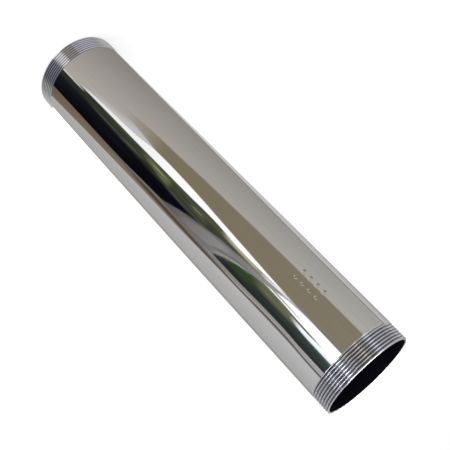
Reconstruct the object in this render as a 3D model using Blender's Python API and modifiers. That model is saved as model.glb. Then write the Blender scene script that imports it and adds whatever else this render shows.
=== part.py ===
"""Threaded pipe nipple: a drawn brass tube, chrome plated outside, with a cut thread at each end.

Metres, +Z up. The tube stands on its lower end, its axis is Z, and the origin is the centre of the
lower end face. The brass tube carries the part. The plated skin goes round it and has the threads.
"""

import math

import bmesh
import bpy
from mathutils import Matrix

MM = 0.001
INCH = 25.4 * MM

# Tube
TUBE_LENGTH = 6.0 * INCH
TUBE_DIAMETER = 1.25 * INCH
WALL = 0.81 * MM
BORE_CHAMFER = 0.08 * MM

# Plated skin
PLATING_THICKNESS = 0.03 * MM
BOND_GAP = 0.01 * MM
RIM_CHAMFER = 0.25 * MM
RIM_SETBACK = 0.10 * MM

# Thread
THREADS_PER_INCH = 27
THREAD_LENGTH = 6.8 * MM
THREAD_DEPTH = 0.40 * MM
CREST_WIDTH = 0.16 * MM
ROOT_WIDTH = 0.14 * MM
RUNOUT_LENGTH = 0.55 * MM

# Facets
SEGMENTS = 40
WELD_DISTANCE = 0.0001 * MM
SHARP_ANGLE = math.radians(25)

# Worked out from the sizes above
OUTER_RADIUS = TUBE_DIAMETER / 2
BORE_RADIUS = OUTER_RADIUS - WALL
THREAD_PITCH = INCH / THREADS_PER_INCH
BODY_RADIUS = OUTER_RADIUS - PLATING_THICKNESS - BOND_GAP
SEAT_RADIUS = BODY_RADIUS - THREAD_DEPTH
SEAT_SLOPE = BODY_RADIUS - SEAT_RADIUS
SLEEVE_LENGTH = THREAD_LENGTH - RIM_SETBACK


def clear_scene():
    for item in list(bpy.data.objects):
        bpy.data.objects.remove(item, do_unlink=True)


def metal(name, colour, roughness):
    material = bpy.data.materials.new(name)
    material.use_nodes = True
    shader = material.node_tree.nodes["Principled BSDF"]
    shader.inputs["Base Color"].default_value = (*colour, 1.0)
    shader.inputs["Metallic"].default_value = 1.0
    shader.inputs["Roughness"].default_value = roughness
    return material


def sweep(outline, closed, rise_per_turn=0.0):
    """The mesh of an outline of (radius, height) points swept once round Z, as a ring or as a helix."""
    points = [(radius, 0.0, height) for radius, height in outline]
    edges = [(index, index + 1) for index in range(len(points) - 1)]
    if closed:
        edges.append((len(points) - 1, 0))
    mesh = bpy.data.meshes.new("outline")
    mesh.from_pydata(points, edges, [])
    item = bpy.data.objects.new("outline", mesh)
    bpy.context.scene.collection.objects.link(item)
    screw = item.modifiers.new("Sweep", "SCREW")
    screw.axis = "Z"
    screw.angle = math.tau
    screw.screw_offset = rise_per_turn
    screw.steps = SEGMENTS
    screw.render_steps = SEGMENTS
    graph = bpy.context.evaluated_depsgraph_get()
    swept = bpy.data.meshes.new_from_object(item.evaluated_get(graph))
    bpy.data.objects.remove(item, do_unlink=True)
    return swept


def add_piece(name, shape, material, collection):
    """Weld the seams of a bmesh, face it outwards and put it in the collection as a named object."""
    bmesh.ops.remove_doubles(shape, verts=shape.verts[:], dist=WELD_DISTANCE)
    bmesh.ops.recalc_face_normals(shape, faces=shape.faces[:])
    mesh = bpy.data.meshes.new(name)
    shape.to_mesh(mesh)
    shape.free()
    mesh.shade_smooth()
    mesh.set_sharp_from_angle(angle=SHARP_ANGLE)
    mesh.materials.append(material)
    piece = bpy.data.objects.new(name, mesh)
    collection.objects.link(piece)
    return piece


def seat_line(clearance, setback):
    """Outside of the brass, top to bottom: full size between the threads, their root size at the ends."""
    body = BODY_RADIUS + clearance
    seat = SEAT_RADIUS + clearance
    slope_end = THREAD_LENGTH + SEAT_SLOPE
    return [
        (seat, TUBE_LENGTH - setback),
        (seat, TUBE_LENGTH - THREAD_LENGTH),
        (body, TUBE_LENGTH - slope_end),
        (body, slope_end),
        (seat, THREAD_LENGTH),
        (seat, setback),
    ]


def make_brass_tube(collection):
    bore = [
        (BORE_RADIUS + BORE_CHAMFER, 0.0),
        (BORE_RADIUS, BORE_CHAMFER),
        (BORE_RADIUS, TUBE_LENGTH - BORE_CHAMFER),
        (BORE_RADIUS + BORE_CHAMFER, TUBE_LENGTH),
    ]
    shape = bmesh.new()
    shape.from_mesh(sweep(seat_line(0.0, 0.0) + bore, closed=True))
    return add_piece("brass_tube", shape, metal("bare_brass", (0.42, 0.31, 0.16), 0.35), collection)


def groove_depth(turn):
    """Depth of the thread at a place along its helix, in turns: crests at whole turns, roots at halves."""
    from_crest = abs(turn - round(turn)) * THREAD_PITCH
    flank_start = CREST_WIDTH / 2
    flank_end = (THREAD_PITCH - ROOT_WIDTH) / 2
    share = (from_crest - flank_start) / (flank_end - flank_start)
    return THREAD_DEPTH * min(max(share, 0.0), 1.0)


def thread_radius(turn, height):
    """Radius of the threaded end: the groove fades out at height 0, and the crests are cut at the rim."""
    fade = min(height / RUNOUT_LENGTH, 1.0)
    chamfer = max(0.0, RIM_CHAMFER - (SLEEVE_LENGTH - height))
    return OUTER_RADIUS - max(groove_depth(turn) * fade, chamfer)


def thread_sleeve():
    """Outside of one threaded end, from its run-out at height 0 up to the rim, and in across the rim.

    A line with a point at each corner of the thread form is swept up a right-hand helix, so that the
    rows of faces follow the crests and roots. Both ends of the helix are then drawn level.
    """
    corners = (
        CREST_WIDTH / 2,
        (THREAD_PITCH - ROOT_WIDTH) / 2,
        (THREAD_PITCH + ROOT_WIDTH) / 2,
        THREAD_PITCH - CREST_WIDTH / 2,
    )
    last_turn = math.ceil(SLEEVE_LENGTH / THREAD_PITCH)
    heights = [turn * THREAD_PITCH + corner for turn in range(-2, last_turn + 1) for corner in corners]
    mesh = sweep([(OUTER_RADIUS, height) for height in heights], closed=False, rise_per_turn=THREAD_PITCH)
    level = THREAD_PITCH / (2 * SEGMENTS)
    for index, vert in enumerate(mesh.vertices):
        column, row = divmod(index, len(heights))
        height = vert.co.z
        if height < level:
            height = 0.0
        if height > SLEEVE_LENGTH - level:
            height = SLEEVE_LENGTH
        radius = thread_radius(height / THREAD_PITCH - column / SEGMENTS, height)
        if row == len(heights) - 1:
            radius = SEAT_RADIUS + BOND_GAP
        vert.co.x *= radius / OUTER_RADIUS
        vert.co.y *= radius / OUTER_RADIUS
        vert.co.z = height
    return mesh


def make_chrome_plating(collection):
    upper_thread = thread_sleeve()
    upper_thread.transform(Matrix.Translation((0.0, 0.0, TUBE_LENGTH - THREAD_LENGTH)))
    lower_thread = thread_sleeve()
    lower_thread.transform(Matrix.Translation((0.0, 0.0, THREAD_LENGTH)) @ Matrix.Rotation(math.pi, 4, "X"))
    body = [(OUTER_RADIUS, TUBE_LENGTH - THREAD_LENGTH), (OUTER_RADIUS, THREAD_LENGTH)]

    shape = bmesh.new()
    shape.from_mesh(upper_thread)
    shape.from_mesh(lower_thread)
    shape.from_mesh(sweep(body, closed=False))
    shape.from_mesh(sweep(seat_line(BOND_GAP, RIM_SETBACK), closed=False))
    return add_piece("chrome_plating", shape, metal("chrome", (0.62, 0.63, 0.64), 0.06), collection)


def main():
    clear_scene()
    parts = bpy.data.collections.new("threaded_pipe_nipple")
    bpy.context.scene.collection.children.link(parts)
    make_brass_tube(parts)
    make_chrome_plating(parts)


main()
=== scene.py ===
"""Looks of the threaded pipe nipple: plated tube with cut threads, dark bore, studio and camera."""

import math
from typing import NamedTuple

import bmesh
import bpy
from mathutils import Matrix, Vector


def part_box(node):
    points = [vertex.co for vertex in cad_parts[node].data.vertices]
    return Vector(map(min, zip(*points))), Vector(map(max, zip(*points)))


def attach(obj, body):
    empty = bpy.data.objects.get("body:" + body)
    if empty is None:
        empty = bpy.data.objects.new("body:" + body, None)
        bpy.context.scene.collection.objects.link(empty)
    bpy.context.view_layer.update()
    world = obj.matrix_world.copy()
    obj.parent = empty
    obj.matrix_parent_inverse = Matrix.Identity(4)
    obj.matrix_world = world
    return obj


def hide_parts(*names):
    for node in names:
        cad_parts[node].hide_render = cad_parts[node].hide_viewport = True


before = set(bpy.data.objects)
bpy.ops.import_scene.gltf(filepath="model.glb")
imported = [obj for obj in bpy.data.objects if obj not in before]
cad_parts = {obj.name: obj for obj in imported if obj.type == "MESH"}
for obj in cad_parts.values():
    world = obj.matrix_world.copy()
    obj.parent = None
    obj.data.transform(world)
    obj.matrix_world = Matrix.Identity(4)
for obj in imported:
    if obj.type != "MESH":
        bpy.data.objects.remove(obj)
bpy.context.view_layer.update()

MM = 0.001
INCH = 25.4 * MM

# Tube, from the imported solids
SKIN_LOW, SKIN_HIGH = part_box("chrome_plating")
TUBE_LOW, TUBE_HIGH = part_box("brass_tube")
OUTER_RADIUS = (SKIN_HIGH[0] - SKIN_LOW[0]) / 2
TUBE_LENGTH = TUBE_HIGH[2] - TUBE_LOW[2]
WALL = 0.81 * MM
BORE_RADIUS = OUTER_RADIUS - WALL

# Rims: the plating goes over the end faces and just round the edge of the bore
RIM_CHAMFER = 0.25 * MM
RIM_RISE = 0.10 * MM
RIM_ROUND = 0.10 * MM
RIM_MIDDLE = 0.03 * MM
FACE_STEP = 0.025 * MM
LIP_DEPTH = 0.14 * MM
LIP_WALL = 0.25 * MM
BORE_GAP = 0.02 * MM

# Thread
THREADS_PER_INCH = 27
THREAD_PITCH = INCH / THREADS_PER_INCH
THREAD_LENGTH = 6.8 * MM
THREAD_DEPTH = 0.40 * MM
CREST_WIDTH = 0.16 * MM
ROOT_WIDTH = 0.14 * MM
THREAD_ROUND = 0.11 * MM
RUNOUT_LENGTH = 0.55 * MM
CREST_EDGE = CREST_WIDTH / 2
ROOT_EDGE = (THREAD_PITCH - ROOT_WIDTH) / 2

# Struck marks: plain dimples in rows near the upper end
MARK_FROM_TOP = 22.0 * MM
MARK_LENGTH = 11.6 * MM
MARK_ANGLES = (13.0, 34.0)
MARK_ROWS = 2
MARKS_PER_ROW = 4
MARK_RADIUS = 0.85 * MM
MARK_DEPTH = 0.12 * MM

# Mesh steps
COLUMNS = 180
MARK_CELL = 0.14 * MM
SUPPORT_ROW = 0.05 * MM
LEVEL = 0.01 * MM
ROWS_PER_THREAD = 16
WELD = 0.0001 * MM
SHARP_ANGLE = math.radians(40)

# Camera, where the photograph was taken from
CAMERA_AT = Vector((0.0, -0.23009, 0.18830))
CAMERA_FORWARD = Vector((-0.001756, 0.913629, -0.406545))
CAMERA_UP = Vector((-0.690752, -0.295078, -0.660145))
CAMERA_LENS = 61.6
CAMERA_SENSOR = 36.0
CAMERA_CLIP = 0.01

# Chrome
CHROME_COLOUR = (0.60, 0.605, 0.615)
HAZE_SCALE = 180.0
HAZE_DETAIL = 4.0
HAZE_RANGE = (0.35, 0.75)
POLISH_RANGE = (0.035, 0.075)
WAVE_SCALE = 70.0
WAVE_DETAIL = 1.0
WAVE_HEIGHT = 0.012 * MM
# Thread roots: rougher, and the darker, bluer base colour there is painted shade
GROOVE_RANGE = (0.42, 0.80)
GROOVE_SHADE_COLOUR = (0.16, 0.165, 0.235)
GROOVE_ROUGHNESS = 0.26

# Bore
BORE_METALLIC = 0.8
BORE_ROUGHNESS = 0.45
# The near-black, bluish base colours are painted shade inside the tube; noise between them makes stains
BORE_SHADE_DARK = (0.0012, 0.0010, 0.0060)
BORE_SHADE_PALE = (0.0060, 0.0050, 0.0150)
DRAW_STRETCH = (1.0, 1.0, 0.06)
STAIN_SCALE = 420.0
STAIN_DETAIL = 5.0

# Studio
FLOOR_COLOUR = (0.90, 0.90, 0.90)
FLOOR_ROUGHNESS = 0.9
FLOOR_SIZE = 8.0
FLOOR_GLOW = 0.38
WORLD_LIGHT = 0.62
WHITE_LIGHT = (1.0, 1.0, 1.0, 1.0)
SUN_STRENGTH = 1.0
SUN_SPREAD = math.radians(60)
SUN_FROM = Vector((0.25, -0.45, 1.0))

# Reflection cards: their mesh, the steps between their layers, and their streaks
CARD_ROWS = 80
CARD_COLUMNS = 14
NARROWEST = 0.1
FLOOR_STEP = 0.03 * MM
DOME_RADIUS = 3.9
DOME_STEP = 0.1
END_DOME_RADIUS = 60.0 * MM
END_DOME_STEP = 0.2 * MM
STREAK_STRETCH = (0.05, 0.9, 1.0)
STREAK_SCALE = 1.0
STREAK_DETAIL = 3.0
STREAK_RANGE = (0.3, 0.7)
STREAK_SWING = (-1.0, 1.0)


def around(angle, radius, height):
    """A point at an angle round the tube in degrees: 0 faces the camera, and 90 is the -X side."""
    turn = math.radians(angle)
    return Vector((-radius * math.sin(turn), -radius * math.cos(turn), height))


# Materials


def new_material(name):
    material = bpy.data.materials.new(name)
    material.use_nodes = True
    return material, material.node_tree.nodes, material.node_tree.links


def add_attribute(nodes, name):
    """The outputs of a node that reads a value kept on the mesh."""
    node = nodes.new("ShaderNodeAttribute")
    node.attribute_name = name
    return node.outputs


def add_stretch(nodes, links, place, scale):
    """A place with its three directions scaled, so that a pattern there is drawn out."""
    node = nodes.new("ShaderNodeMapping")
    node.inputs["Scale"].default_value = scale
    links.new(place, node.inputs["Vector"])
    return node.outputs["Vector"]


def add_noise(nodes, links, place, scale, detail):
    node = nodes.new("ShaderNodeTexNoise")
    node.inputs["Scale"].default_value = scale
    node.inputs["Detail"].default_value = detail
    links.new(place, node.inputs["Vector"])
    return node.outputs["Fac"]


def add_range(nodes, links, value, reads, gives=(0.0, 1.0)):
    """A value taken from one range to another."""
    node = nodes.new("ShaderNodeMapRange")
    for name, limit in zip(("From Min", "From Max", "To Min", "To Max"), reads + gives):
        node.inputs[name].default_value = limit
    links.new(value, node.inputs["Value"])
    return node.outputs["Result"]


def add_colour_mix(nodes, links, share, first, second):
    """A colour between two others."""
    node = nodes.new("ShaderNodeMix")
    node.data_type = "RGBA"
    node.inputs["A"].default_value = (*first, 1.0)
    node.inputs["B"].default_value = (*second, 1.0)
    links.new(share, node.inputs["Factor"])
    return node.outputs["Result"]


def chrome_material():
    """Bright plating, a little hazy and wavy, and duller down in the thread, where a darker, bluer base
    colour is painted shade.
    """
    material, nodes, links = new_material("polished_chrome")
    shader = nodes["Principled BSDF"]
    shader.inputs["Metallic"].default_value = 1.0
    place = nodes.new("ShaderNodeTexCoord").outputs["Object"]

    # Towards the thread roots the base colour turns to painted shade, and the roughness rises
    groove = add_attribute(nodes, "groove")["Fac"]
    dull_and_shaded = add_range(nodes, links, groove, GROOVE_RANGE)
    tone = add_colour_mix(nodes, links, dull_and_shaded, CHROME_COLOUR, GROOVE_SHADE_COLOUR)
    links.new(tone, shader.inputs["Base Color"])

    haze = add_noise(nodes, links, place, HAZE_SCALE, HAZE_DETAIL)
    polish = add_range(nodes, links, haze, HAZE_RANGE, POLISH_RANGE)
    rough = nodes.new("ShaderNodeMix")
    rough.inputs["B"].default_value = GROOVE_ROUGHNESS
    links.new(dull_and_shaded, rough.inputs["Factor"])
    links.new(polish, rough.inputs["A"])
    links.new(rough.outputs["Result"], shader.inputs["Roughness"])

    wave = add_noise(nodes, links, place, WAVE_SCALE, WAVE_DETAIL)
    bump = nodes.new("ShaderNodeBump")
    bump.inputs["Strength"].default_value = 1.0
    bump.inputs["Distance"].default_value = WAVE_HEIGHT
    links.new(wave, bump.inputs["Height"])
    links.new(bump.outputs["Normal"], shader.inputs["Normal"])
    return material


def bore_material():
    """Dull metal with stains drawn out along the tube, its near-black base colour painted shade for the
    inside.
    """
    material, nodes, links = new_material("painted_shade_bore")
    shader = nodes["Principled BSDF"]
    shader.inputs["Metallic"].default_value = BORE_METALLIC
    shader.inputs["Roughness"].default_value = BORE_ROUGHNESS
    place = nodes.new("ShaderNodeTexCoord").outputs["Object"]
    draw_lines = add_stretch(nodes, links, place, DRAW_STRETCH)
    stain = add_noise(nodes, links, draw_lines, STAIN_SCALE, STAIN_DETAIL)
    tone = add_colour_mix(nodes, links, stain, BORE_SHADE_DARK, BORE_SHADE_PALE)
    links.new(tone, shader.inputs["Base Color"])
    return material


# Meshes


def join_rows(shape, rows):
    """Faces between each row of points and the next."""
    for upper, lower in zip(rows, rows[1:]):
        for column in range(len(upper) - 1):
            shape.faces.new((upper[column], upper[column + 1], lower[column + 1], lower[column]))


def add_object(name, shape, material):
    """A finished shape as an object in the scene."""
    mesh = bpy.data.meshes.new(name)
    shape.to_mesh(mesh)
    shape.free()
    mesh.materials.append(material)
    item = bpy.data.objects.new(name, mesh)
    bpy.context.scene.collection.objects.link(item)
    return item


# Pieces


def column_angles():
    """Angles round the tube, even all round and close together across the struck marks."""
    angles = {360.0 * column / COLUMNS for column in range(COLUMNS + 1)}
    low, high = MARK_ANGLES
    count = math.ceil(math.radians(high - low) * OUTER_RADIUS / MARK_CELL)
    angles.update(low + (high - low) * index / count for index in range(count + 1))
    return sorted(angles)


def soft_ramp(reach):
    """Level up to a corner at 0 and rising evenly after it, with the corner rounded."""
    if reach <= -THREAD_ROUND:
        return 0.0
    if reach >= THREAD_ROUND:
        return reach
    return (reach + THREAD_ROUND) ** 2 / (4 * THREAD_ROUND)


def groove_share(turn):
    """How far down the thread is at a place along its helix: 0 on a crest, 1 in a root."""
    from_crest = abs(turn - round(turn)) * THREAD_PITCH
    rise = soft_ramp(from_crest - CREST_EDGE) - soft_ramp(from_crest - ROOT_EDGE)
    return rise / (ROOT_EDGE - CREST_EDGE)


def thread_point(angle, turn, sense):
    """How far down the thread is, and its height from the run-out, drawn level there and at the rim.

    A right-hand thread climbs against the angle at the upper end, where sense is -1, and with it at
    the lower end.
    """
    lead = sense * angle / 360
    height = (turn + lead) * THREAD_PITCH
    if height < LEVEL:
        height = 0.0
    if height > THREAD_LENGTH - RIM_RISE - LEVEL:
        height = THREAD_LENGTH - RIM_RISE
    fade = min(height / RUNOUT_LENGTH, 1.0)
    return groove_share(height / THREAD_PITCH - lead) * fade, height


def mark_depth(angle, height):
    """Depth of the struck dimples at a place on the tube."""
    low, high = MARK_ANGLES
    row_step = (high - low) / MARK_ROWS
    mark_step = MARK_LENGTH / MARKS_PER_ROW
    from_top = TUBE_LENGTH - MARK_FROM_TOP - height
    depth = 0.0
    for row in range(MARK_ROWS):
        across = math.radians(angle - low - row_step * (row + 0.5)) * OUTER_RADIUS
        for mark in range(MARKS_PER_ROW):
            reach = math.hypot(across, from_top - mark_step * (mark + 0.5)) / MARK_RADIUS
            depth = max(depth, MARK_DEPTH * (1 - reach * reach))
    return depth


def add_rows(shape, rows):
    """Rows of (angle, depth below the outside, height, groove) as points, joined by faces."""
    groove_layer = shape.verts.layers.float["groove"]
    made = []
    for row in rows:
        verts = []
        for angle, depth, height, groove in row:
            vert = shape.verts.new(around(angle, OUTER_RADIUS - depth, height))
            vert[groove_layer] = groove
            verts.append(vert)
        made.append(verts)
    join_rows(shape, made)


def turned_rows(angles, outline):
    """Rows of a turned surface, from an outline of (radius, height) points."""
    return [[(angle, OUTER_RADIUS - radius, height, 0.0) for angle in angles] for radius, height in outline]


def new_shape():
    shape = bmesh.new()
    shape.verts.layers.float.new("groove")
    return shape


def add_piece(name, shape, material):
    """A finished shape as a piece of the tube, with its doubled points welded."""
    bmesh.ops.remove_doubles(shape, verts=shape.verts[:], dist=WELD)
    bmesh.ops.recalc_face_normals(shape, faces=shape.faces[:])
    piece = add_object(name, shape, material)
    piece.data.shade_smooth()
    piece.data.set_sharp_from_angle(angle=SHARP_ANGLE)
    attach(piece, "root")
    return piece


def threaded_end_rows(angles, end, inwards):
    """One threaded end, then its end face and the lip inside the bore. Inwards is -1 at the top end."""
    # The helix moves a row by up to a turn, so the rows start and stop beyond the thread
    first_turn = -2
    last_turn = math.ceil(THREAD_LENGTH / THREAD_PITCH) + 1
    rows = []
    for index in range(first_turn * ROWS_PER_THREAD, last_turn * ROWS_PER_THREAD):
        row = []
        for angle in angles:
            groove, height = thread_point(angle, index / ROWS_PER_THREAD, inwards)
            row.append((angle, groove * THREAD_DEPTH, end + inwards * (THREAD_LENGTH - height), groove))
        rows.append(row)
    rows.append([(angle, max(depth, RIM_CHAMFER), end, 0.0) for angle, depth, height, groove in rows[-1]])
    rim = [
        (OUTER_RADIUS - THREAD_DEPTH - FACE_STEP, end),
        (BORE_RADIUS + RIM_ROUND, end),
        (BORE_RADIUS + RIM_MIDDLE, end + inwards * RIM_MIDDLE),
        (BORE_RADIUS, end + inwards * RIM_ROUND),
        (BORE_RADIUS, end + inwards * LIP_DEPTH),
        (BORE_RADIUS + LIP_WALL, end + inwards * LIP_DEPTH),
    ]
    return rows + turned_rows(angles, rim)


def make_shell():
    """The plated outside: threads, plain body with its struck marks, and the rims."""
    angles = column_angles()
    shape = new_shape()
    add_rows(shape, threaded_end_rows(angles, TUBE_LENGTH, -1))
    add_rows(shape, threaded_end_rows(angles, 0.0, 1))

    mark_top = TUBE_LENGTH - MARK_FROM_TOP
    mark_count = math.ceil(MARK_LENGTH / MARK_CELL)
    heights = [TUBE_LENGTH - THREAD_LENGTH, TUBE_LENGTH - THREAD_LENGTH - SUPPORT_ROW]
    heights += [mark_top - MARK_LENGTH * index / mark_count for index in range(mark_count + 1)]
    heights += [THREAD_LENGTH + SUPPORT_ROW, THREAD_LENGTH]
    body = [[(angle, mark_depth(angle, height), height, 0.0) for angle in angles] for height in heights]
    add_rows(shape, body)

    hidden_wall = BORE_RADIUS + LIP_WALL
    add_rows(shape, turned_rows(angles, [(hidden_wall, TUBE_LENGTH - LIP_DEPTH), (hidden_wall, LIP_DEPTH)]))
    return add_piece("plated_shell", shape, chrome_material())


def make_bore():
    """The bare inside of the tube, between the two plated lips."""
    angles = [360.0 * column / COLUMNS for column in range(COLUMNS + 1)]
    outside = BORE_RADIUS + LIP_WALL - BORE_GAP
    low = LIP_DEPTH + BORE_GAP
    high = TUBE_LENGTH - LIP_DEPTH - BORE_GAP
    section = [(outside, high), (outside, low), (BORE_RADIUS, low), (BORE_RADIUS, high), (outside, high)]
    shape = new_shape()
    add_rows(shape, turned_rows(angles, section))
    return add_piece("bare_bore", shape, bore_material())


# Tones of the reflection cards, as display levels that the metal shows
GLARE = (400, 400, 400)
COOL_GLARE = (350, 356, 380)
WHITE = (275, 275, 275)
COOL_WHITE = (236, 238, 250)
SOFT_WHITE = (226, 227, 223)
WARM_LIGHT = (228, 220, 212)
SKY_BLUE = (214, 234, 242)
CREAM = (205, 203, 192)
LINEN = (192, 187, 174)
PALE_GREY = (190, 189, 190)
LIGHT_GREY = (180, 179, 178)
LAVENDER = (180, 176, 190)
WARM_GREY = (172, 166, 160)
STRAW = (172, 172, 152)
COOL_GREY = (165, 165, 167)
STONE_GREY = (161, 162, 161)
MID_GREY = (146, 145, 144)
UMBER = (146, 138, 131)
DUSK_BLUE = (143, 145, 156)
TAN = (130, 121, 106)
DUSK_GREY = (122, 117, 113)
OLIVE_TAN = (118, 110, 87)
BROWN = (114, 99, 80)
ASH_GREY = (110, 106, 103)
MOSS = (102, 108, 72)
DULL_BROWN = (100, 88, 73)
REED = (98, 106, 80)
KHAKI = (98, 100, 73)
DEEP_GREY = (92, 89, 88)
DARK_KHAKI = (82, 85, 62)
TEAL = (82, 98, 94)
DARK_BROWN = (68, 60, 50)
OLIVE = (62, 65, 48)
SLATE = (52, 54, 58)
LEAF = (48, 66, 33)
DARK_OLIVE = (44, 47, 36)
INK = (34, 38, 40)
NAVY = (30, 30, 48)
BLACK = (7, 6, 14)

# Where the long floor cards start and stop, in mm from the upper end
CARD_TOP = -27
CARD_FOOT = 152

# Width of a fleck in degrees, and the lowest elevation and soft foot of the overhead cards
FLECK_WIDTH = 1.1
HORIZON = 0.2
END_HORIZON = 1
FOOT_FADE = 0.2


class Card(NamedTuple):
    """A glowing card that only mirrors see, with tones at its four corners and soft edges.

    On the floor, each station is (mm from the upper end, first angle, last angle): the part of the tube
    that mirrors the card to the camera. Overhead, it is (elevation, first azimuth, last azimuth). Upper
    and lower are the tones at the first and the last station, from the first angle to the last.
    """

    name: str
    stations: tuple
    upper: tuple
    lower: tuple
    feather: tuple = (0.8, 0.8)
    fade: tuple = (0.0, 0.0)
    streak: float = 0.0


def graded_card(name, stations, first, last, **edges):
    """A card from one tone at its first station to another at its last."""
    return Card(name, stations, (first, first), (last, last), **edges)


def plain_card(name, stations, tone, **edges):
    """A card in one tone."""
    return graded_card(name, stations, tone, tone, **edges)


def fleck(name, start, end, tone):
    """A thin floor card along a line from one (mm from the upper end, angle) to another."""
    half = FLECK_WIDTH / 2
    stations = tuple((place, angle - half, angle + half) for place, angle in (start, end))
    fade = (end[0] - start[0]) / 3
    return plain_card(name, stations, tone, feather=(half, half), fade=(fade, fade))


def overhead_card(name, stations, foot, head, feather=3.0, fade=3.0):
    """An overhead card from one tone at its foot to another at its head, soft at its sides and its head."""
    return graded_card(name, stations, foot, head, feather=(feather, feather), fade=(FOOT_FADE, fade))


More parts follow.
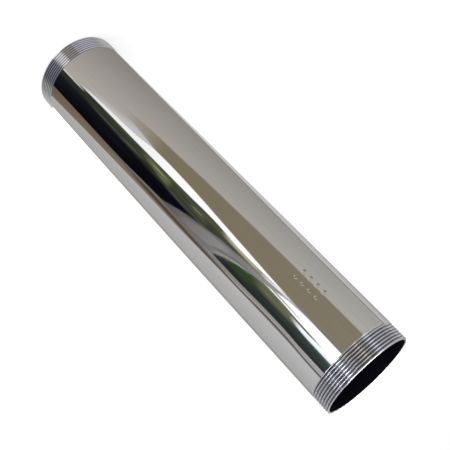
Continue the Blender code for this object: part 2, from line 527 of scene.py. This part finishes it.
FLOOR_CARDS = (
    Card(
        "left_grey",
        ((CARD_TOP, -88, -34), (CARD_FOOT, -88, -34)),
        (MID_GREY, PALE_GREY),
        (MID_GREY, LIGHT_GREY),
        streak=0.03,
    ),
    graded_card(
        "left_line",
        ((CARD_TOP, -78, -70), (CARD_FOOT, -74, -66)),
        DUSK_GREY,
        MID_GREY,
        feather=(3.0, 4.0),
    ),
    plain_card(
        "left_edge",
        ((62, -88, -79), (85, -88, -77), (110, -88, -75), (130, -88, -72), (CARD_FOOT, -88, -68)),
        WHITE,
        feather=(0.8, 4.0),
        fade=(60.0, 0.0),
    ),
    Card(
        "right_grey",
        ((CARD_TOP, -8, 61), (50, -8, 63.5), (95, -9, 69), (125, -10, 73), (CARD_FOOT, -14, 77)),
        (LINEN, STONE_GREY),
        (WARM_GREY, DUSK_GREY),
        streak=0.05,
    ),
    plain_card(
        "right_line",
        ((CARD_TOP, 58, 61.8), (50, 60, 64), (95, 65.5, 69.5), (125, 70.5, 74.5)),
        DUSK_GREY,
        feather=(2.0, 0.8),
        fade=(0.0, 40.0),
    ),
    Card(
        "right_edge",
        (
            (CARD_TOP, 61, 86), (35, 61.5, 86), (65, 65, 86), (95, 69, 86), (125, 73.5, 86),
            (CARD_FOOT, 77.5, 86),
        ),
        (PALE_GREY, DEEP_GREY),
        (LIGHT_GREY, SOFT_WHITE),
    ),
    graded_card(
        "back_flag",
        ((CARD_TOP, 88, 91.5), (60, 88, 91.5), (130, 87.5, 92)),
        INK,
        DEEP_GREY,
        feather=(1.0, 1.0),
        fade=(0.0, 20.0),
    ),
    plain_card(
        "soft_glow",
        ((90, -6, 6), (102, -7, 10), (115, -8, 5), (132, -9, 0)),
        PALE_GREY,
        feather=(0.8, 6.0),
        fade=(6.0, 10.0),
    ),
    graded_card(
        "tan_card",
        (
            (CARD_TOP, -4, 28), (20, -4, 27), (50, -2, 24.5), (75, 1, 21.5), (90, 2, 19), (102, 4.5, 17.5),
            (115, 8, 14.5),
        ),
        TAN,
        OLIVE_TAN,
        feather=(0.8, 1.6),
        fade=(0.0, 22.0),
        streak=0.05,
    ),
    Card(
        "brown_strip",
        (
            (CARD_TOP, -39.7, -36), (20, -38.7, -36), (50, -40.4, -36), (70, -43.2, -31), (100, -45.6, -32),
            (130, -49, -33), (CARD_FOOT, -53, -33),
        ),
        (MID_GREY, DUSK_GREY),
        (BROWN, DULL_BROWN),
        feather=(1.4, 0.8),
        streak=0.25,
    ),
    graded_card(
        "brown_line",
        (
            (CARD_TOP, -39.8, -36.4), (12, -39.4, -36.2), (22, -37.6, -34), (32, -38, -34.6),
            (46, -39.8, -36.8), (62, -41, -36.6), (85, -41, -36), (104, -40.5, -37),
        ),
        ASH_GREY,
        DARK_BROWN,
        feather=(1.0, 0.8),
        fade=(0.0, 14.0),
        streak=0.25,
    ),
    graded_card(
        "pale_line",
        (
            (CARD_TOP, -36.4, -31), (14, -36.2, -31), (24, -34.4, -29.5), (34, -35, -29.5),
            (44, -36.4, -31), (64, -36.6, -31),
        ),
        PALE_GREY,
        DUSK_GREY,
        fade=(0.0, 8.0),
        streak=0.1,
    ),
    Card(
        "black_flag",
        ((60, -33, -7), (80, -33, -8), (90, -34, -8.5), (105, -36.2, -9), (CARD_FOOT, -36.4, -12)),
        (BLACK, BLACK),
        (BLACK, INK),
        feather=(0.8, 1.0),
        streak=0.5,
    ),
    Card(
        "olive_card",
        (
            (40, -14, -4), (60, -20, -3), (80, -20, -4), (100, -19, -6), (125, -18, -7),
            (CARD_FOOT, -18, -10),
        ),
        (OLIVE, DARK_KHAKI),
        (INK, DARK_OLIVE),
        feather=(2.5, 0.6),
        streak=0.7,
    ),
    plain_card(
        "moss_card",
        ((82, -17, -7), (88, -16, -7), (99, -11.5, -7)),
        MOSS,
        feather=(3.0, 1.5),
        fade=(3.0, 5.0),
        streak=0.5,
    ),
    fleck("teal_fleck", (70, -18.6), (85, -17.6), TEAL),
    fleck("straw_fleck", (66, -10.2), (73, -10.6), STRAW),
    fleck("moss_fleck", (85, -10.6), (93, -10.2), STRAW),
    fleck("dark_fleck", (84, -8.0), (92, -7.8), INK),
    fleck("reed_fleck", (96, -14.6), (110, -15.6), REED),
    fleck("far_fleck", (109, -15.0), (126, -15.8), REED),
    Card(
        "near_flag",
        (
            (CARD_TOP, -31.8, -18), (16, -31.7, -15), (24, -30.7, -11), (34, -31, -8), (44, -32.2, -8),
            (64, -32.5, -8),
        ),
        (INK, TEAL),
        (INK, OLIVE),
        feather=(0.6, 2.0),
        streak=0.5,
    ),
    plain_card(
        "khaki_card",
        ((20, -21.5, -11), (30, -22, -11), (43, -21, -11)),
        KHAKI,
        feather=(5.0, 1.5),
        fade=(5.0, 5.0),
        streak=0.35,
    ),
    plain_card(
        "leaf_card",
        ((37, -27, -13), (46, -28, -13), (55, -27, -13)),
        LEAF,
        feather=(6.0, 2.0),
        fade=(6.0, 6.0),
        streak=0.35,
    ),
    Card(
        "blue_card",
        ((CARD_TOP, -20, -13), (14, -19.6, -13), (20, -19, -13), (25, -17, -13)),
        (SKY_BLUE, WHITE),
        (SKY_BLUE, WHITE),
        feather=(1.2, 1.0),
        fade=(0.0, 5.0),
    ),
    plain_card(
        "near_strip_light",
        ((CARD_TOP, -17, -3), (14, -16, -3), (22, -13.5, -3), (30, -12, -3), (38, -12, -6)),
        WHITE,
        feather=(1.6, 0.6),
    ),
    plain_card(
        "upper_twig",
        ((9, -14.6, -13.4), (19, -15.2, -12.4), (29, -13.6, -12)),
        DEEP_GREY,
        fade=(6.0, 3.0),
    ),
    plain_card(
        "lower_twig",
        ((17, -11.2, -10), (28, -10.6, -8.6), (38, -10.4, -8.4)),
        DUSK_GREY,
        fade=(7.0, 3.0),
    ),
    plain_card(
        "strip_haze",
        ((38, -8.8, -4), (47, -9.2, -4), (59, -9, -4)),
        STRAW,
        feather=(2.0, 0.6),
        fade=(5.0, 5.0),
        streak=0.3,
    ),
    graded_card(
        "long_strip_light",
        (
            (29, -3, -2), (35, -4.2, -1.8), (50, -5.6, 0.2), (63, -4.0, 2), (75, -5.2, 3.6),
            (88, -6.0, 4.2), (97, -6.4, 3), (105, -6.8, -0.4), (120, -7.3, -3), (136, -8, -6),
        ),
        WHITE,
        SOFT_WHITE,
        feather=(1.0, 1.0),
        fade=(2.0, 6.0),
    ),
    plain_card(
        "end_strip_light",
        ((132, -10.7, -8.4), (CARD_FOOT, -10.9, -8.6)),
        CREAM,
        feather=(0.6, 0.9),
        fade=(4.0, 0.0),
    ),
    Card(
        "near_shade",
        ((CARD_TOP, -3.8, 5), (10, -3.8, 4), (20, -3.6, 1), (34, -3.6, -1.6)),
        (DUSK_GREY, TAN),
        (DUSK_GREY, TAN),
        feather=(0.6, 3.0),
        fade=(0.0, 6.0),
    ),
    Card(
        "grey_wisp",
        (
            (18, -3.7, -1.4), (28, -6, -3), (33, -9.4, -4.4), (40, -13.8, -6.8), (47, -18.7, -8.8),
            (53, -25.6, -11.2), (58, -34, -12.8), (66, -35.5, -18), (74, -33, -23.5), (82, -33, -32),
        ),
        (COOL_GREY, MID_GREY),
        (DEEP_GREY, DEEP_GREY),
        feather=(0.8, 1.6),
        fade=(6.0, 0.0),
        streak=0.15,
    ),
    graded_card(
        "wisp_light",
        ((50, -19, -12), (56, -26, -14.5), (63, -31, -17.5), (70, -33, -24), (75, -33, -29)),
        MID_GREY,
        ASH_GREY,
        feather=(2.0, 2.0),
        fade=(5.0, 4.0),
    ),
    graded_card(
        "wisp_edge",
        ((42, -15.2, -14), (48, -20, -17.8), (53, -25.4, -22.4), (58, -33, -29)),
        COOL_GREY,
        MID_GREY,
        fade=(3.0, 3.0),
    ),
    plain_card(
        "wisp_line",
        ((41, -13, -12), (48, -17.4, -15.6), (53, -21.8, -19.4), (59, -28.5, -25)),
        DEEP_GREY,
        fade=(3.0, 4.0),
    ),
)

SKY_CARDS = (
    overhead_card("ceiling", ((50, -180, 180), (90, -180, 180)), NAVY, NAVY, 0.1, 0.5),
    overhead_card("back_wall", ((HORIZON, 84, 276), (60, 84, 276)), LIGHT_GREY, PALE_GREY, 16.0, 12.0),
    overhead_card("left_wall", ((HORIZON, -116, -70), (56, -116, -70)), COOL_GREY, MID_GREY, 14.0, 8.0),
    overhead_card("left_dusk", ((HORIZON, -80, -12), (68, -84, -14)), SLATE, DUSK_BLUE, 8.0, 4.0),
    overhead_card("high_window", ((20, -17, 10), (72, -20, 14)), SOFT_WHITE, SOFT_WHITE, 6.0),
    overhead_card("brown_wall", ((HORIZON, 2, 40), (46, 7, 44), (72, 8, 48)), TAN, UMBER, 6.0),
    overhead_card(
        "right_wall", ((HORIZON, 34, 110), (46, 38, 110), (68, 42, 110)), COOL_GREY, COOL_GREY, 10.0, 5.0
    ),
    overhead_card(
        "right_haze", ((20, 44, 96), (46, 52, 100), (68, 56, 104)), LAVENDER, LAVENDER, 12.0, 5.0
    ),
)

# Cards close round the upper end, which only its thread and rim mirror
END_CARDS = (
    overhead_card("end_dusk", ((END_HORIZON, -180, 180), (90, -180, 180)), MID_GREY, MID_GREY, 0.1, 0.5),
    overhead_card("end_left_grey", ((END_HORIZON, -178, -74), (52, -178, -98)), COOL_WHITE, COOL_WHITE),
    overhead_card(
        "end_window", ((END_HORIZON, -62, -14), (50, -86, -20), (80, -110, -28)), COOL_GLARE, COOL_GLARE
    ),
    overhead_card("end_warm", ((END_HORIZON, 5, 35), (50, 10, 50), (80, 18, 68)), WARM_LIGHT, WARM_LIGHT),
    overhead_card(
        "end_right_grey", ((END_HORIZON, 35, 178), (50, 50, 178), (68, 66, 178)), PALE_GREY, PALE_GREY
    ),
    overhead_card(
        "end_right_light", ((END_HORIZON, 38, 64), (50, 56, 88), (68, 72, 104)), COOL_WHITE, COOL_WHITE, 8.0
    ),
    overhead_card("end_back_window", ((14, 164, 196), (40, 152, 196), (80, 118, 198)), GLARE, GLARE),
)


def linear(level):
    """A display level as linear light."""
    share = level / 255
    return share / 12.92 if share <= 0.04045 else ((share + 0.055) / 1.055) ** 2.4


def mirrored_on_floor(from_top, angle, height):
    """Where the camera sees the floor mirrored at a place on the tube."""
    normal = around(angle, 1.0, 0.0)
    point = around(angle, OUTER_RADIUS, TUBE_LENGTH - from_top * MM)
    ray = (point - CAMERA_AT).normalized().reflect(normal)
    return point + ray * ((point.z - height) / -ray.z)


def on_dome(elevation, azimuth, radius):
    """A place overhead: azimuth 0 is over the camera, and 90 is the -X side."""
    rise = math.radians(elevation)
    return around(azimuth, radius * math.cos(rise), radius * math.sin(rise))


def smooth_between(stations, place):
    """The first and last angle at a place, on a smooth curve through the stations."""
    after = next(index for index, station in enumerate(stations) if index and station[0] >= place)
    before = after - 1
    start, end = stations[before], stations[after]
    span = end[0] - start[0]
    share = (place - start[0]) / span
    angles = []
    for column in (1, 2):
        slopes = []
        for index in (before, after):
            low, high = stations[max(index - 1, 0)], stations[min(index + 1, len(stations) - 1)]
            slopes.append(span * (high[column] - low[column]) / (high[0] - low[0]))
        angles.append(
            start[column] * (1 + 2 * share) * (1 - share) ** 2
            + end[column] * share ** 2 * (3 - 2 * share)
            + slopes[0] * share * (1 - share) ** 2
            - slopes[1] * share ** 2 * (1 - share)
        )
    return angles


def card_material():
    """Glow in each corner's tone, streaked along the card and clear towards its edges."""
    material, nodes, links = new_material("reflection_card")
    nodes.remove(nodes["Principled BSDF"])
    shade = add_attribute(nodes, "shade")
    place = add_attribute(nodes, "place")["Vector"]
    streak = add_attribute(nodes, "streak")["Fac"]
    drawn_out = add_stretch(nodes, links, place, STREAK_STRETCH)
    noise = add_noise(nodes, links, drawn_out, STREAK_SCALE, STREAK_DETAIL)
    swing = add_range(nodes, links, noise, STREAK_RANGE, STREAK_SWING)
    strength = nodes.new("ShaderNodeMath")
    strength.operation = "MULTIPLY_ADD"
    strength.inputs[2].default_value = 1.0
    links.new(swing, strength.inputs[0])
    links.new(streak, strength.inputs[1])

    glow = nodes.new("ShaderNodeEmission")
    links.new(shade["Color"], glow.inputs["Color"])
    links.new(strength.outputs["Value"], glow.inputs["Strength"])
    clear = nodes.new("ShaderNodeBsdfTransparent")
    cover = nodes.new("ShaderNodeMixShader")
    links.new(shade["Alpha"], cover.inputs["Fac"])
    links.new(clear.outputs["BSDF"], cover.inputs[1])
    links.new(glow.outputs["Emission"], cover.inputs[2])
    links.new(cover.outputs["Shader"], nodes["Material Output"].inputs["Surface"])
    return material


def card_shares(card, width):
    """Where a card's points lie across it, and how much they cover: nothing at its two edges."""
    first = min(card.feather[0] / width, 0.5)
    last = 1 - min(card.feather[1] / width, 0.5)
    steps = [first + (last - first) * index / CARD_COLUMNS for index in range(CARD_COLUMNS + 1)]
    return [(0.0, 0.0)] + [(step, 1.0) for step in steps] + [(1.0, 0.0)]


def card_fade(card, place):
    """How much a card covers at a place along it: less towards an end that fades."""
    cover = 1.0
    for end, length in zip((card.stations[0][0], card.stations[-1][0]), card.fade):
        if length:
            cover = min(cover, abs(place - end) / length)
    return cover


def card_tone(card, along, across):
    """Glow of a card at a place, so that the metal shows the card's tones."""
    tone = []
    for channel, metal in enumerate(CHROME_COLOUR):
        upper = card.upper[0][channel] + (card.upper[1][channel] - card.upper[0][channel]) * across
        lower = card.lower[0][channel] + (card.lower[1][channel] - card.lower[0][channel]) * across
        tone.append(linear(upper + (lower - upper) * along) / metal)
    return tone


def make_card(card, locate, layer, material):
    """A card's mesh, put where locate says, and seen only in mirrors."""
    first, last = card.stations[0][0], card.stations[-1][0]
    shape = bmesh.new()
    shade = shape.verts.layers.float_color.new("shade")
    place_layer = shape.verts.layers.float_vector.new("place")
    streak = shape.verts.layers.float.new("streak")
    rows = []
    for row in range(CARD_ROWS + 1):
        along = row / CARD_ROWS
        place = first + (last - first) * along
        start, end = smooth_between(card.stations, place)
        width = max(end - start, NARROWEST)
        cover = card_fade(card, place)
        verts = []
        for across, edge_cover in card_shares(card, width):
            angle = start + width * across
            vert = shape.verts.new(locate(place, angle))
            vert[shade] = (*card_tone(card, along, across), cover * edge_cover)
            vert[place_layer] = (place, angle, layer)
            vert[streak] = card.streak
            verts.append(vert)
        rows.append(verts)
    join_rows(shape, rows)
    item = add_object(card.name, shape, material)
    item.visible_camera = False
    item.visible_diffuse = False
    item.visible_shadow = False
    item.visible_transmission = False


def make_cards():
    """Lay the floor cards just over one another, and hang the others overhead and round the upper end."""
    material = card_material()
    for layer, card in enumerate(FLOOR_CARDS):
        height = FLOOR_STEP * (layer + 1)
        make_card(card, lambda place, angle: mirrored_on_floor(place, angle, height), layer, material)
    for layer, card in enumerate(SKY_CARDS):
        radius = DOME_RADIUS - DOME_STEP * layer
        make_card(card, lambda place, angle: on_dome(place, angle, radius), layer, material)
    thread_middle = Vector((0.0, 0.0, TUBE_LENGTH - THREAD_LENGTH / 2))
    for layer, card in enumerate(END_CARDS):
        radius = END_DOME_RADIUS - END_DOME_STEP * layer
        make_card(card, lambda place, angle: thread_middle + on_dome(place, angle, radius), layer, material)


# Studio


def seen_directly(nodes, links):
    """A socket that is 1 for what the camera sees, straight or in metal or glass, and 0 for light."""
    path = nodes.new("ShaderNodeLightPath")
    total = path.outputs["Is Camera Ray"]
    for name in ("Is Glossy Ray", "Is Transmission Ray"):
        either = nodes.new("ShaderNodeMath")
        either.operation = "MAXIMUM"
        links.new(total, either.inputs[0])
        links.new(path.outputs[name], either.inputs[1])
        total = either.outputs["Value"]
    return total


def make_floor():
    material, nodes, links = new_material("pale_floor")
    shader = nodes["Principled BSDF"]
    shader.inputs["Base Color"].default_value = (*FLOOR_COLOUR, 1.0)
    shader.inputs["Roughness"].default_value = FLOOR_ROUGHNESS
    shader.inputs["Specular IOR Level"].default_value = 0.0
    shader.inputs["Emission Color"].default_value = WHITE_LIGHT
    glow = nodes.new("ShaderNodeMath")
    glow.operation = "MULTIPLY"
    glow.inputs[1].default_value = FLOOR_GLOW
    links.new(seen_directly(nodes, links), glow.inputs[0])
    links.new(glow.outputs["Value"], shader.inputs["Emission Strength"])
    shape = bmesh.new()
    bmesh.ops.create_grid(shape, x_segments=1, y_segments=1, size=FLOOR_SIZE / 2)
    floor = add_object("floor", shape, material)


def make_world():
    world = bpy.data.worlds.new("studio")
    bpy.context.scene.world = world
    world.use_nodes = True
    nodes, links = world.node_tree.nodes, world.node_tree.links
    background = nodes["Background"]
    background.inputs["Color"].default_value = WHITE_LIGHT
    strength = add_range(nodes, links, seen_directly(nodes, links), (0.0, 1.0), (WORLD_LIGHT, 1.0))
    links.new(strength, background.inputs["Strength"])


def make_lamp():
    light = bpy.data.lights.new("soft_lamp", "SUN")
    light.energy = SUN_STRENGTH
    light.angle = SUN_SPREAD
    lamp = bpy.data.objects.new("soft_lamp", light)
    lamp.rotation_euler = (-SUN_FROM).to_track_quat("-Z", "Y").to_euler()
    bpy.context.scene.collection.objects.link(lamp)


def make_camera():
    data = bpy.data.cameras.new("camera")
    data.lens = CAMERA_LENS
    data.sensor_width = CAMERA_SENSOR
    data.clip_start = CAMERA_CLIP
    camera = bpy.data.objects.new("camera", data)
    back = -CAMERA_FORWARD.normalized()
    right = CAMERA_UP.cross(back).normalized()
    up = back.cross(right)
    turn = Matrix((right, up, back)).transposed()
    camera.matrix_world = Matrix.Translation(CAMERA_AT) @ turn.to_4x4()
    bpy.context.scene.collection.objects.link(camera)
    bpy.context.scene.camera = camera


def main():
    bpy.context.scene.view_settings.view_transform = "Standard"
    make_camera()
    make_world()
    make_lamp()
    make_floor()
    make_cards()

    shell = make_shell()
    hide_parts("chrome_plating")
    bore = make_bore()
    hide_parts("brass_tube")


main()
